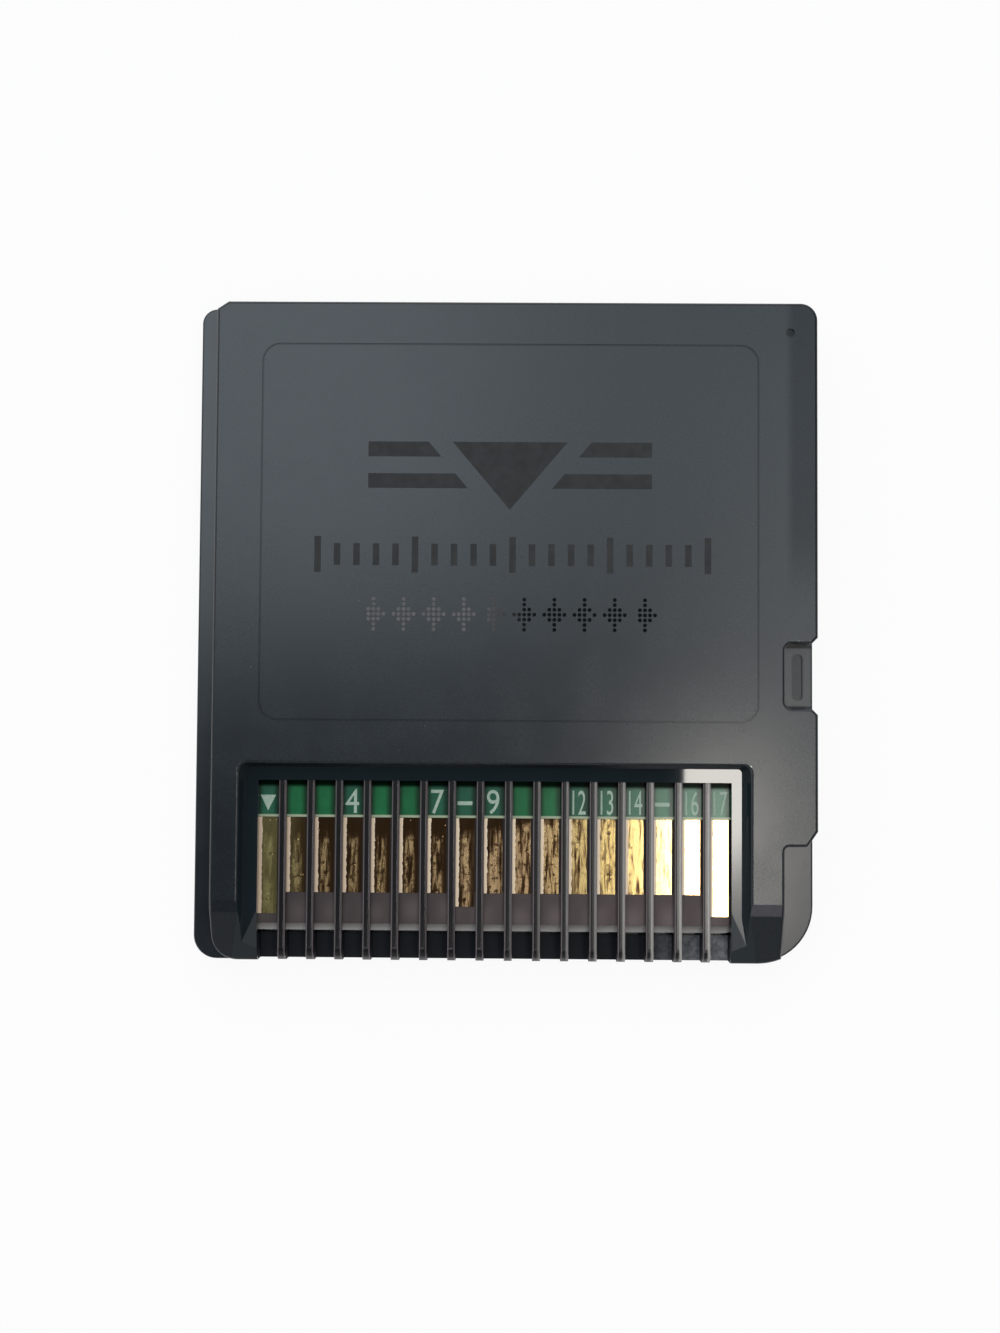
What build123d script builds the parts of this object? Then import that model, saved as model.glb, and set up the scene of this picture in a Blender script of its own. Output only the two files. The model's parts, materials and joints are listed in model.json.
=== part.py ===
from build123d import *
import os

# A game card: two moulded half shells round a circuit board with a row of edge contacts.
# The card lies on its label side with its contact side up. X runs across the card, Y from the
# nose, which enters the slot, to the grip end, and Z up out of the contact side. The origin is
# on the label side, at the middle of the card. Sizes are in millimetres.

# Contact comb, whose width sets the card's width
CONTACT_COUNT = 17
CONTACT_PITCH = 1.5
RIB_WIDTH = 0.42
RIB_HEIGHT = 0.5  # above the board
RIB_ROUND = 0.12  # rounding of a rib's upper edges
RIB_NOSE = 0.76  # radius of a rib's front end
SLOT_LENGTH = 9.55  # from the nose to the closed end of the slots

# Recess round the comb, with a flat frame and sloping walls
RECESS_DEPTH = 0.85
SIDE_FRAME_WIDTH = 0.53  # beside the comb
REAR_FRAME_WIDTH = 0.72  # behind the comb
SIDE_SLOPE_RUN = 0.41  # of the side walls
REAR_SLOPE_RUN = 0.21  # of the rear wall
RECESS_CORNER = 0.22  # frame's rear corners
RIM_ROUND = 0.15
FLARE_WIDTH = 0.42  # widening of the recess at the nose
FLARE_LENGTH = 2.4
LEAD_SETBACK = 1.0  # from the nose to the front of the frame's slanting leads
LEAD_LENGTH = 1.7
LEAD_DROP = 0.2  # at the nose, beside the comb

# Card body
CARD_LENGTH = 35.0
PARTING_HEIGHT = 2.1  # where the two shells meet
SIDE_WALL = 1.595  # face between the recess and the sides of the upper shell, on average
COMB_OFFSET = -0.14  # the comb and its recess lie a little to the left
LEDGE_WIDTH = 1.1  # lower shell beyond the upper one, on the left
GRIP_WALL = 2.1
WEB_WALL = 1.0  # between the recess and the inner space
FLOOR_THICKNESS = 0.75
ROOF_THICKNESS = 0.55
ROOF_CLEARANCE = 0.13  # above the chips
GRIP_LEFT_RADIUS = 0.8
GRIP_RIGHT_RADIUS = 0.9
NOSE_LEFT_RADIUS = 1.25
NOSE_RIGHT_RADIUS = 3.0
BLOCK_NOSE_RADIUS = 1.3  # upper shell's corner at the left of the nose
BLOCK_CHAMFER_X = 0.6  # upper shell's corner at the left of the grip end
BLOCK_CHAMFER_Y = 0.4
FACE_ROUND = 0.3  # round the label side
SEAM_ROUND = 0.1  # along the parting line
BACK_ROUND = 0.16  # round the contact side

# Key step at the right of the nose
KEY_DEPTH = 1.75
KEY_LENGTH = 6.25
KEY_LEAD_X = 0.55
KEY_LEAD_Y = 0.8
KEY_CORNER = 0.25
EJECTOR_RADIUS = 0.28  # round mark on the step
EJECTOR_DEPTH = 0.06
EJECTOR_SETBACK = 5.2  # from the nose
EJECTOR_INSET = 0.65  # from the right side

# Latch notch in the right side
NOTCH_DEPTH = 1.73
NOTCH_LENGTH = 3.42
NOTCH_SETBACK = 15.2  # from the nose to its middle
NOTCH_LEAD = 0.32
NOTCH_CORNER = 0.38
GROOVE_WIDTH = 0.5  # shallow groove along the notch's floor
GROOVE_MARGIN = 0.5  # from its ends to the notch's
GROOVE_INSET = 0.8  # from the right side
GROOVE_DEPTH = 0.12
GROOVE_CORNER = 0.23

# Lead-in slope of the nose: a shallow facet, then a steeper one
FACET_START = 3.25  # from the nose
FACET_DROP = 0.12
SLOPE_START = 2.62
SLOPE_END_HEIGHT = 0.4  # above the parting line, at the nose

# Comb foot, which stands on the lower shell's lip at the nose
LIP_HEIGHT = 0.85
FOOT_THICKNESS = 0.45
FOOT_LENGTH = 1.35
FIT_CLEARANCE = 0.05

# Face that a mould insert forms, with a witness line round it, and a gauge dimple
INSERT_MARGIN_GRIP = 2.3
INSERT_MARGIN_LEFT = 2.5
INSERT_MARGIN_RIGHT = 3.15
INSERT_SETBACK = 12.75  # from the nose
INSERT_CORNER = 0.95
INSERT_SINK = 0.02  # of that face below the contact side
INSERT_LINE_WIDTH = 0.09
INSERT_LINE_DEPTH = 0.035
DIMPLE_RADIUS = 0.22
DIMPLE_DEPTH = 0.12
DIMPLE_INSET_X = 1.45
DIMPLE_INSET_Y = 1.6

# Label side: a shallow recess for a label and an arrow that shows which way the card goes in
LABEL_DEPTH = 0.15
LABEL_MARGIN_SIDE = 2.0
LABEL_MARGIN_GRIP = 2.0
LABEL_MARGIN_NOSE = 6.5
LABEL_CORNER = 1.2
ARROW_WIDTH = 3.0
ARROW_LENGTH = 1.9
ARROW_SETBACK = 2.2  # from the nose to its tip
ARROW_DEPTH = 0.15

# Locating pins on the upper shell
PIN_RADIUS = 0.45
PIN_LENGTH = 0.85
PIN_TIP = 0.12
PIN_SPREAD = 22.0  # between the two pins at the grip end
PIN_SETBACK = 5.6  # from the nose to the two pins beside the contacts
PIN_CLEARANCE = 0.05
SOCKET_SPARE = 0.1  # depth below the pin

# Circuit board
BOARD_THICKNESS = 0.8
BOARD_MARGIN = 0.45  # beyond the comb's outer slots
BOARD_OFFSET = -0.08  # sits a little to the left of the comb
BOARD_RISE = 0.25  # of its top above the parting line
BOARD_SETBACK = 1.55  # from the nose
BOARD_CLEARANCE = 0.1
BOARD_CORNER = 0.6
BOARD_BEVEL = 0.4
SEAT_WIDTH = 1.0
STIFFENER_COUNT = 2
STIFFENER_WIDTH = 0.6
PEG_RADIUS = 0.7
PEG_SETBACK = 18.5  # from the nose
POST_RADIUS = 0.8
POST_INSET = 1.7

# Contacts and solder mask
PAD_WIDTH = 1.02
PAD_LENGTH = 3.97
OUTER_PAD_LENGTH = 5.11
SENSE_PAD_INDEX = 8
SENSE_PAD_LENGTH = 4.68
PAD_SETBACK = 7.56  # from the nose to the pads' rear ends
PAD_THICKNESS = 0.04
MASK_THICKNESS = 0.03
MASK_GAP = 0.02
COMB_CLEARANCE = 0.06  # between the contacts and the ribs

# Memory chips and their leads
ROM_LENGTH = 18.4
ROM_WIDTH = 8.0
ROM_LEAD_COUNT = 16
ROM_LEAD_PITCH = 0.5
ROM_ADVANCE = 13.5  # from the front of the inner space
SAVE_LENGTH = 4.4
SAVE_WIDTH = 3.0
SAVE_LEAD_COUNT = 4
SAVE_LEAD_PITCH = 0.65
SAVE_ADVANCE = 4.2
SAVE_INSET = 5.5  # from the board's left side
CHIP_THICKNESS = 0.68
CHIP_STANDOFF = 0.06
CHIP_EDGE = 0.08
LEAD_WIDTH = 0.22
LEAD_THICKNESS = 0.13
LEAD_SHOULDER = 0.25
LEAD_FOOT = 0.5
DOT_RADIUS = 0.4
DOT_DEPTH = 0.05
DOT_INSET = 0.9

# Small capacitors and resistors in a row
CAPACITOR_COUNT = 3
CAPACITOR_HEIGHT = 0.6
RESISTOR_COUNT = 2
RESISTOR_HEIGHT = 0.45
SMALL_PART_LENGTH = 1.6
SMALL_PART_WIDTH = 0.8
SMALL_PART_CAP = 0.35  # length of each end cap
SMALL_PART_STEP = 0.03  # of the caps over the body
SMALL_PART_PITCH = 2.4
SMALL_PART_ADVANCE = 7.0  # from the smaller chip to the first one

# Places across the card
WINDOW_WIDTH = CONTACT_COUNT * CONTACT_PITCH - RIB_WIDTH
FRAME_WIDTH = WINDOW_WIDTH + 2 * SIDE_FRAME_WIDTH
RIM_WIDTH = FRAME_WIDTH + 2 * SIDE_SLOPE_RUN
BLOCK_WIDTH = RIM_WIDTH + 2 * SIDE_WALL
CARD_WIDTH = LEDGE_WIDTH + BLOCK_WIDTH + KEY_DEPTH
RIGHT_X = CARD_WIDTH / 2
LEFT_X = -RIGHT_X
BLOCK_LEFT_X = LEFT_X + LEDGE_WIDTH
KEY_X = RIGHT_X - KEY_DEPTH
NOTCH_X = RIGHT_X - NOTCH_DEPTH
COMB_X = (BLOCK_LEFT_X + KEY_X) / 2 + COMB_OFFSET
BOARD_WIDTH = WINDOW_WIDTH + 2 * BOARD_MARGIN
BOARD_X = COMB_X + BOARD_OFFSET
POCKET_WIDTH = BOARD_WIDTH + 2 * BOARD_CLEARANCE
POCKET_LEFT_X = BOARD_X - POCKET_WIDTH / 2
POCKET_RIGHT_X = BOARD_X + POCKET_WIDTH / 2

# Places along the card
GRIP_Y = CARD_LENGTH / 2
NOSE_Y = -GRIP_Y
KEY_Y = NOSE_Y + KEY_LENGTH
NOTCH_Y = NOSE_Y + NOTCH_SETBACK
SLOT_REAR_Y = NOSE_Y + SLOT_LENGTH
FRAME_REAR_Y = SLOT_REAR_Y + REAR_FRAME_WIDTH
RIM_REAR_Y = FRAME_REAR_Y + REAR_SLOPE_RUN
SPACE_FRONT_Y = RIM_REAR_Y + WEB_WALL
SPACE_REAR_Y = GRIP_Y - GRIP_WALL
FOOT_REAR_Y = NOSE_Y + FOOT_LENGTH
BOARD_FRONT_Y = NOSE_Y + BOARD_SETBACK
BOARD_REAR_Y = SPACE_REAR_Y - BOARD_CLEARANCE
PAD_REAR_Y = NOSE_Y + PAD_SETBACK
MASK_FRONT_Y = PAD_REAR_Y + MASK_GAP
RELIEF_FRONT_Y = MASK_FRONT_Y + SEAT_WIDTH
RELIEF_REAR_Y = BOARD_REAR_Y - SEAT_WIDTH
STIFFENER_PITCH = (RELIEF_REAR_Y - RELIEF_FRONT_Y) / (STIFFENER_COUNT + 1)
PEG_Y = NOSE_Y + PEG_SETBACK
ROM_Y = SPACE_FRONT_Y + ROM_ADVANCE
SAVE_X = BOARD_X - BOARD_WIDTH / 2 + SAVE_INSET
SAVE_Y = SPACE_FRONT_Y + SAVE_ADVANCE
PIN_PLACES = [
    (COMB_X - PIN_SPREAD / 2, GRIP_Y - GRIP_WALL / 2),
    (COMB_X + PIN_SPREAD / 2, GRIP_Y - GRIP_WALL / 2),
    ((BLOCK_LEFT_X + POCKET_LEFT_X) / 2, NOSE_Y + PIN_SETBACK),
    ((POCKET_RIGHT_X + KEY_X) / 2, NOSE_Y + PIN_SETBACK),
]

# Heights
BOARD_TOP = PARTING_HEIGHT + BOARD_RISE
SEAT_HEIGHT = BOARD_TOP - BOARD_THICKNESS
MASK_TOP = BOARD_TOP + MASK_THICKNESS
COMB_UNDERSIDE = BOARD_TOP + PAD_THICKNESS + COMB_CLEARANCE
RIB_TOP = BOARD_TOP + RIB_HEIGHT
CHIP_BOTTOM = MASK_TOP + CHIP_STANDOFF
ROOF_UNDERSIDE = CHIP_BOTTOM + CHIP_THICKNESS + ROOF_CLEARANCE
CARD_THICKNESS = ROOF_UNDERSIDE + ROOF_THICKNESS
FRAME_TOP = CARD_THICKNESS - RECESS_DEPTH
FOOT_TOP = LIP_HEIGHT + FOOT_THICKNESS
LEAD_HEIGHT = CHIP_BOTTOM + CHIP_THICKNESS / 2

OVERSHOOT = 1.0  # how far a cut runs past a face
UPWARD = 0.5  # a face whose normal rises by more than this counts as an upper face

os.makedirs("parts", exist_ok=True)


def corner_near(sketch, x, y):
    """Return the sketch's vertex nearest to a place."""
    return sketch.vertices().sort_by_distance((x, y, 0))[0]


def span(left, right, front, rear):
    """Add a rectangle between four sides to the sketch in hand."""
    with Locations(((left + right) / 2, (front + rear) / 2)):
        Rectangle(right - left, rear - front)


def board_outline(clearance):
    """Add the board's outline, grown by a clearance, to the sketch in hand."""
    length = BOARD_REAR_Y - BOARD_FRONT_Y
    with Locations((BOARD_X, (BOARD_FRONT_Y + BOARD_REAR_Y) / 2)):
        RectangleRounded(BOARD_WIDTH + 2 * clearance, length + 2 * clearance, BOARD_CORNER)


def recess_outline(side, rear):
    """Add the contact recess's outline, spread at its sides and rear, to the sketch in hand.

    It runs out past the nose, where its sides flare to guide the slot's connector.
    """
    half = FRAME_WIDTH / 2 + side
    flare = half + FLARE_WIDTH
    rear_y = FRAME_REAR_Y + rear
    Polygon(
        (COMB_X - flare, NOSE_Y - OVERSHOOT),
        (COMB_X - flare, NOSE_Y),
        (COMB_X - half, NOSE_Y + FLARE_LENGTH),
        (COMB_X - half, rear_y),
        (COMB_X + half, rear_y),
        (COMB_X + half, NOSE_Y + FLARE_LENGTH),
        (COMB_X + flare, NOSE_Y),
        (COMB_X + flare, NOSE_Y - OVERSHOOT),
        align=None,
    )


def insert_outline(grow, mode=Mode.ADD):
    """Add the mould insert's outline, grown by a distance, to the sketch in hand."""
    left = LEFT_X + LEDGE_WIDTH + INSERT_MARGIN_LEFT - grow
    right = RIGHT_X - INSERT_MARGIN_RIGHT + grow
    front = NOSE_Y + INSERT_SETBACK - grow
    rear = GRIP_Y - INSERT_MARGIN_GRIP + grow
    with Locations(((left + right) / 2, (front + rear) / 2)):
        RectangleRounded(right - left, rear - front, INSERT_CORNER + grow, mode=mode)


def peg_places():
    """Return where the two pegs stand, on the board pocket's sides."""
    return [(POCKET_LEFT_X, PEG_Y), (POCKET_RIGHT_X, PEG_Y)]


def finish(builder, name):
    """Label a finished piece and write it."""
    builder.part.label = name
    export_step(builder.part, f"parts/{name}.step")


# Lower shell, on the label side
with BuildPart() as front_shell:
    with BuildSketch() as front_outline:
        Rectangle(CARD_WIDTH, CARD_LENGTH)
        fillet(corner_near(front_outline, LEFT_X, GRIP_Y), GRIP_LEFT_RADIUS)
        fillet(corner_near(front_outline, RIGHT_X, GRIP_Y), GRIP_RIGHT_RADIUS)
        fillet(corner_near(front_outline, LEFT_X, NOSE_Y), NOSE_LEFT_RADIUS)
        fillet(corner_near(front_outline, RIGHT_X, NOSE_Y), NOSE_RIGHT_RADIUS)
    extrude(amount=PARTING_HEIGHT)
    fillet(front_shell.faces().sort_by(Axis.Z)[0].edges(), FACE_ROUND)
    fillet(front_shell.faces().sort_by(Axis.Z)[-1].edges(), SEAM_ROUND)

    # Label recess and arrow
    with BuildSketch() as label_recess:
        with Locations((0, (LABEL_MARGIN_NOSE - LABEL_MARGIN_GRIP) / 2)):
            RectangleRounded(
                CARD_WIDTH - 2 * LABEL_MARGIN_SIDE,
                CARD_LENGTH - LABEL_MARGIN_NOSE - LABEL_MARGIN_GRIP,
                LABEL_CORNER,
            )
    extrude(amount=LABEL_DEPTH, mode=Mode.SUBTRACT)
    with BuildSketch() as arrow:
        with BuildLine():
            Polyline(
                (0, NOSE_Y + ARROW_SETBACK),
                (ARROW_WIDTH / 2, NOSE_Y + ARROW_SETBACK + ARROW_LENGTH),
                (-ARROW_WIDTH / 2, NOSE_Y + ARROW_SETBACK + ARROW_LENGTH),
                close=True,
            )
        make_face()
    extrude(amount=ARROW_DEPTH, mode=Mode.SUBTRACT)

    # Pocket for the board, with a relief below it and stiffeners across the relief
    with BuildSketch(Plane.XY.offset(SEAT_HEIGHT)) as pocket:
        board_outline(BOARD_CLEARANCE)
    extrude(amount=PARTING_HEIGHT - SEAT_HEIGHT, mode=Mode.SUBTRACT)
    with BuildSketch(Plane.XY.offset(FLOOR_THICKNESS)) as relief:
        span(POCKET_LEFT_X + SEAT_WIDTH, POCKET_RIGHT_X - SEAT_WIDTH, RELIEF_FRONT_Y, RELIEF_REAR_Y)
    extrude(amount=SEAT_HEIGHT - FLOOR_THICKNESS, mode=Mode.SUBTRACT)
    with BuildSketch(Plane.XY.offset(FLOOR_THICKNESS)) as stiffeners:
        with Locations((BOARD_X, (RELIEF_FRONT_Y + RELIEF_REAR_Y) / 2)):
            with GridLocations(0, STIFFENER_PITCH, 1, STIFFENER_COUNT):
                Rectangle(POCKET_WIDTH - 2 * SEAT_WIDTH, STIFFENER_WIDTH)
    extrude(amount=SEAT_HEIGHT - FLOOR_THICKNESS)
    with BuildSketch(Plane.XY.offset(SEAT_HEIGHT)) as pegs:
        with Locations(*peg_places()):
            Circle(PEG_RADIUS)
    extrude(amount=PARTING_HEIGHT - SEAT_HEIGHT)

    # Room for the comb's foot at the nose
    with BuildSketch(Plane.XY.offset(LIP_HEIGHT)) as foot_room:
        span(
            COMB_X - FRAME_WIDTH / 2 - FIT_CLEARANCE,
            COMB_X + FRAME_WIDTH / 2 + FIT_CLEARANCE,
            NOSE_Y - OVERSHOOT,
            BOARD_FRONT_Y,
        )
    extrude(amount=CARD_THICKNESS, mode=Mode.SUBTRACT)

    # Sockets for the pins, the groove in the notch's floor and the mark on the key step
    with BuildSketch(Plane.XY.offset(PARTING_HEIGHT)) as sockets:
        with Locations(*PIN_PLACES):
            Circle(PIN_RADIUS + PIN_CLEARANCE)
    extrude(amount=-PIN_LENGTH - SOCKET_SPARE, mode=Mode.SUBTRACT)
    with BuildSketch(Plane.XY.offset(PARTING_HEIGHT)) as groove:
        with Locations((RIGHT_X - GROOVE_INSET, NOTCH_Y)):
            RectangleRounded(GROOVE_WIDTH, NOTCH_LENGTH - 2 * GROOVE_MARGIN, GROOVE_CORNER)
    extrude(amount=-GROOVE_DEPTH, mode=Mode.SUBTRACT)
    with BuildSketch(Plane.XY.offset(PARTING_HEIGHT)) as ejector_mark:
        with Locations((RIGHT_X - EJECTOR_INSET, NOSE_Y + EJECTOR_SETBACK)):
            Circle(EJECTOR_RADIUS)
    extrude(amount=-EJECTOR_DEPTH, mode=Mode.SUBTRACT)
finish(front_shell, "front_shell")


# Upper shell, on the contact side
with BuildPart() as back_shell:
    with BuildSketch(Plane.XY.offset(PARTING_HEIGHT)) as block_outline:
        span(BLOCK_LEFT_X, RIGHT_X, NOSE_Y, GRIP_Y)
        fillet(corner_near(block_outline, RIGHT_X, GRIP_Y), GRIP_RIGHT_RADIUS)
        fillet(corner_near(block_outline, RIGHT_X, NOSE_Y), NOSE_RIGHT_RADIUS)
        fillet(corner_near(block_outline, BLOCK_LEFT_X, NOSE_Y), BLOCK_NOSE_RADIUS)
        with BuildLine():
            Polyline(
                (BLOCK_LEFT_X, GRIP_Y - BLOCK_CHAMFER_Y),
                (BLOCK_LEFT_X + BLOCK_CHAMFER_X, GRIP_Y),
                (BLOCK_LEFT_X, GRIP_Y),
                close=True,
            )
        make_face(mode=Mode.SUBTRACT)

        # Latch notch, with a mouth that widens outwards
        with BuildLine():
            Polyline(
                (RIGHT_X + NOTCH_LEAD, NOTCH_Y + NOTCH_LENGTH / 2 + 2 * NOTCH_LEAD),
                (RIGHT_X - NOTCH_LEAD, NOTCH_Y + NOTCH_LENGTH / 2),
                (NOTCH_X, NOTCH_Y + NOTCH_LENGTH / 2),
                (NOTCH_X, NOTCH_Y - NOTCH_LENGTH / 2),
                (RIGHT_X - NOTCH_LEAD, NOTCH_Y - NOTCH_LENGTH / 2),
                (RIGHT_X + NOTCH_LEAD, NOTCH_Y - NOTCH_LENGTH / 2 - 2 * NOTCH_LEAD),
                close=True,
            )
        make_face(mode=Mode.SUBTRACT)
        fillet(corner_near(block_outline, NOTCH_X, NOTCH_Y + NOTCH_LENGTH / 2), NOTCH_CORNER)
        fillet(corner_near(block_outline, NOTCH_X, NOTCH_Y - NOTCH_LENGTH / 2), NOTCH_CORNER)

        # Key step, with a slanting lead
        with BuildLine():
            Polyline(
                (KEY_X, NOSE_Y - OVERSHOOT),
                (KEY_X, KEY_Y),
                (RIGHT_X - KEY_LEAD_X, KEY_Y),
                (RIGHT_X + KEY_LEAD_X, KEY_Y + 2 * KEY_LEAD_Y),
                (RIGHT_X + KEY_LEAD_X, NOSE_Y - OVERSHOOT),
                close=True,
            )
        make_face(mode=Mode.SUBTRACT)
        fillet(corner_near(block_outline, KEY_X, KEY_Y), KEY_CORNER)
    extrude(amount=CARD_THICKNESS - PARTING_HEIGHT)

    # Lead-in slope, then rounding of the upper edges all round
    with BuildSketch(Plane.YZ) as slope:
        with BuildLine():
            Polyline(
                (NOSE_Y + FACET_START, CARD_THICKNESS),
                (NOSE_Y + SLOPE_START, CARD_THICKNESS - FACET_DROP),
                (NOSE_Y, PARTING_HEIGHT + SLOPE_END_HEIGHT),
                (NOSE_Y - OVERSHOOT, PARTING_HEIGHT + SLOPE_END_HEIGHT),
                (NOSE_Y - OVERSHOOT, CARD_THICKNESS),
                close=True,
            )
        make_face()
    extrude(amount=CARD_WIDTH, both=True, mode=Mode.SUBTRACT)
    upper_faces = back_shell.faces().filter_by(lambda face: face.normal_at().Z > UPWARD)
    upper_edges = upper_faces.edges()
    rim_edges = ShapeList(edge for edge in upper_edges if upper_edges.count(edge) == 1)
    fillet(rim_edges, BACK_ROUND)

    # Contact recess, sloping from the back face down to the frame
    with BuildSketch(Plane.XY.offset(FRAME_TOP)) as frame_outline:
        recess_outline(0, 0)
        fillet(frame_outline.vertices().group_by(Axis.Y)[-1], RECESS_CORNER)
    with BuildSketch(Plane.XY.offset(CARD_THICKNESS)) as rim_outline:
        recess_outline(SIDE_SLOPE_RUN, REAR_SLOPE_RUN)
        fillet(rim_outline.vertices().group_by(Axis.Y)[-1], RECESS_CORNER + REAR_SLOPE_RUN)
    loft(ruled=True, mode=Mode.SUBTRACT)
    rim_half = RIM_WIDTH / 2 + RIM_ROUND
    recess_rim = back_shell.faces().sort_by(Axis.Z)[-1].edges().filter_by(
        lambda edge: abs(edge.center().X - COMB_X) < rim_half and edge.center().Y < SPACE_FRONT_Y
    )
    fillet(recess_rim, RIM_ROUND)

    # Slanting leads at the frame's front ends, which guide the connector to the comb
    for side in (-1, 1):
        inner_x = COMB_X + side * WINDOW_WIDTH / 2
        outer_x = COMB_X + side * (FRAME_WIDTH / 2 + FLARE_WIDTH * (1 - LEAD_SETBACK / FLARE_LENGTH))
        lead = Face(Wire.make_polygon([
            (inner_x, NOSE_Y + LEAD_SETBACK + LEAD_LENGTH, FRAME_TOP),
            (outer_x, NOSE_Y + LEAD_SETBACK, FRAME_TOP),
            (inner_x, NOSE_Y, FRAME_TOP - LEAD_DROP),
        ]))
        extrude(lead, amount=RECESS_DEPTH, dir=(0, 0, 1), mode=Mode.SUBTRACT)

    # Foot that ties the ribs at the nose, and the window that the ribs divide into slots
    with BuildSketch(Plane.XY.offset(LIP_HEIGHT)) as foot:
        span(COMB_X - FRAME_WIDTH / 2, COMB_X + FRAME_WIDTH / 2, NOSE_Y, FOOT_REAR_Y)
    extrude(amount=PARTING_HEIGHT - LIP_HEIGHT)
    with BuildSketch(Plane.XY.offset(FOOT_TOP)) as window:
        span(COMB_X - WINDOW_WIDTH / 2, COMB_X + WINDOW_WIDTH / 2, NOSE_Y - OVERSHOOT, SLOT_REAR_Y)
    extrude(amount=CARD_THICKNESS, mode=Mode.SUBTRACT)
    with BuildSketch(Plane.XZ.offset(-SLOT_REAR_Y)) as rib_section:
        with Locations((COMB_X, (FOOT_TOP + RIB_TOP) / 2)):
            with GridLocations(CONTACT_PITCH, 0, CONTACT_COUNT - 1, 1):
                Rectangle(RIB_WIDTH, RIB_TOP - FOOT_TOP)
        fillet(rib_section.vertices().group_by(Axis.Y)[-1], RIB_ROUND)
    extrude(amount=SLOT_LENGTH)

    # Quarter-round front ends of the ribs
    with BuildSketch(Plane.YZ.offset(COMB_X)) as rib_ends:
        with BuildLine():
            RadiusArc((NOSE_Y, RIB_TOP - RIB_NOSE), (NOSE_Y + RIB_NOSE, RIB_TOP), RIB_NOSE)
            Polyline(
                (NOSE_Y + RIB_NOSE, RIB_TOP),
                (NOSE_Y - OVERSHOOT, RIB_TOP),
                (NOSE_Y - OVERSHOOT, RIB_TOP - RIB_NOSE),
                (NOSE_Y, RIB_TOP - RIB_NOSE),
            )
        make_face()
    extrude(amount=WINDOW_WIDTH / 2, both=True, mode=Mode.SUBTRACT)

    # Room for the board under the ribs and frame, and the inner space behind them
    with BuildSketch(Plane.XY.offset(COMB_UNDERSIDE)) as board_room:
        span(POCKET_LEFT_X, POCKET_RIGHT_X, FOOT_REAR_Y, SPACE_FRONT_Y)
    extrude(amount=FOOT_TOP - COMB_UNDERSIDE, mode=Mode.SUBTRACT)
    with BuildSketch(Plane.XY.offset(PARTING_HEIGHT)) as inner_space:
        span(POCKET_LEFT_X, POCKET_RIGHT_X, SPACE_FRONT_Y, SPACE_REAR_Y)
        fillet(inner_space.vertices().group_by(Axis.Y)[-1], BOARD_CORNER)
    extrude(amount=ROOF_UNDERSIDE - PARTING_HEIGHT, mode=Mode.SUBTRACT)

    # Posts that hold the board down, and pins that enter the lower shell
    with BuildSketch(Plane.XY.offset(MASK_TOP)) as posts:
        with Locations((BOARD_X, BOARD_REAR_Y - POST_INSET)):
            with GridLocations(BOARD_WIDTH - 2 * POST_INSET, 0, 2, 1):
                Circle(POST_RADIUS)
    extrude(amount=ROOF_UNDERSIDE - MASK_TOP)
    with BuildSketch(Plane.XY.offset(PARTING_HEIGHT)) as pins:
        with Locations(*PIN_PLACES):
            Circle(PIN_RADIUS)
    extrude(amount=-PIN_LENGTH)
    pin_tips = back_shell.edges().filter_by(GeomType.CIRCLE)
    pin_tips = pin_tips.filter_by_position(Axis.Z, PARTING_HEIGHT - PIN_LENGTH, PARTING_HEIGHT - PIN_LENGTH)
    chamfer(pin_tips, PIN_TIP)

    # Face of the mould insert, its witness line and the gauge dimple
    with BuildSketch(Plane.XY.offset(CARD_THICKNESS)) as insert_face:
        insert_outline(0)
    extrude(amount=-INSERT_SINK, mode=Mode.SUBTRACT)
    with BuildSketch(Plane.XY.offset(CARD_THICKNESS)) as insert_line:
        insert_outline(INSERT_LINE_WIDTH / 2)
        insert_outline(-INSERT_LINE_WIDTH / 2, Mode.SUBTRACT)
    extrude(amount=-INSERT_LINE_DEPTH, mode=Mode.SUBTRACT)
    with BuildSketch(Plane.XY.offset(CARD_THICKNESS)) as dimple:
        with Locations((RIGHT_X - DIMPLE_INSET_X, GRIP_Y - DIMPLE_INSET_Y)):
            Circle(DIMPLE_RADIUS)
    extrude(amount=-DIMPLE_DEPTH, mode=Mode.SUBTRACT)
finish(back_shell, "back_shell")


# Circuit board, notched for the pegs and bevelled along its front edge
with BuildPart() as circuit_board:
    with BuildSketch(Plane.XY.offset(SEAT_HEIGHT)):
        board_outline(0)
        with Locations(*peg_places()):
            Circle(PEG_RADIUS + BOARD_CLEARANCE, mode=Mode.SUBTRACT)
    extrude(amount=BOARD_THICKNESS)
    front_edge = circuit_board.faces().sort_by(Axis.Z)[-1].edges().sort_by(Axis.Y)[0]
    chamfer(front_edge, BOARD_BEVEL)
finish(circuit_board, "circuit_board")

# Solder mask over the board behind the contacts
with BuildPart() as solder_mask:
    with BuildSketch(Plane.XY.offset(BOARD_TOP)):
        board_outline(0)
        with Locations(*peg_places()):
            Circle(PEG_RADIUS + BOARD_CLEARANCE, mode=Mode.SUBTRACT)
        with Locations((BOARD_X, MASK_FRONT_Y)):
            Rectangle(
                BOARD_WIDTH + OVERSHOOT,
                CARD_LENGTH,
                align=(Align.CENTER, Align.MAX),
                mode=Mode.SUBTRACT,
            )
    extrude(amount=MASK_THICKNESS)
finish(solder_mask, "solder_mask")

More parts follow.
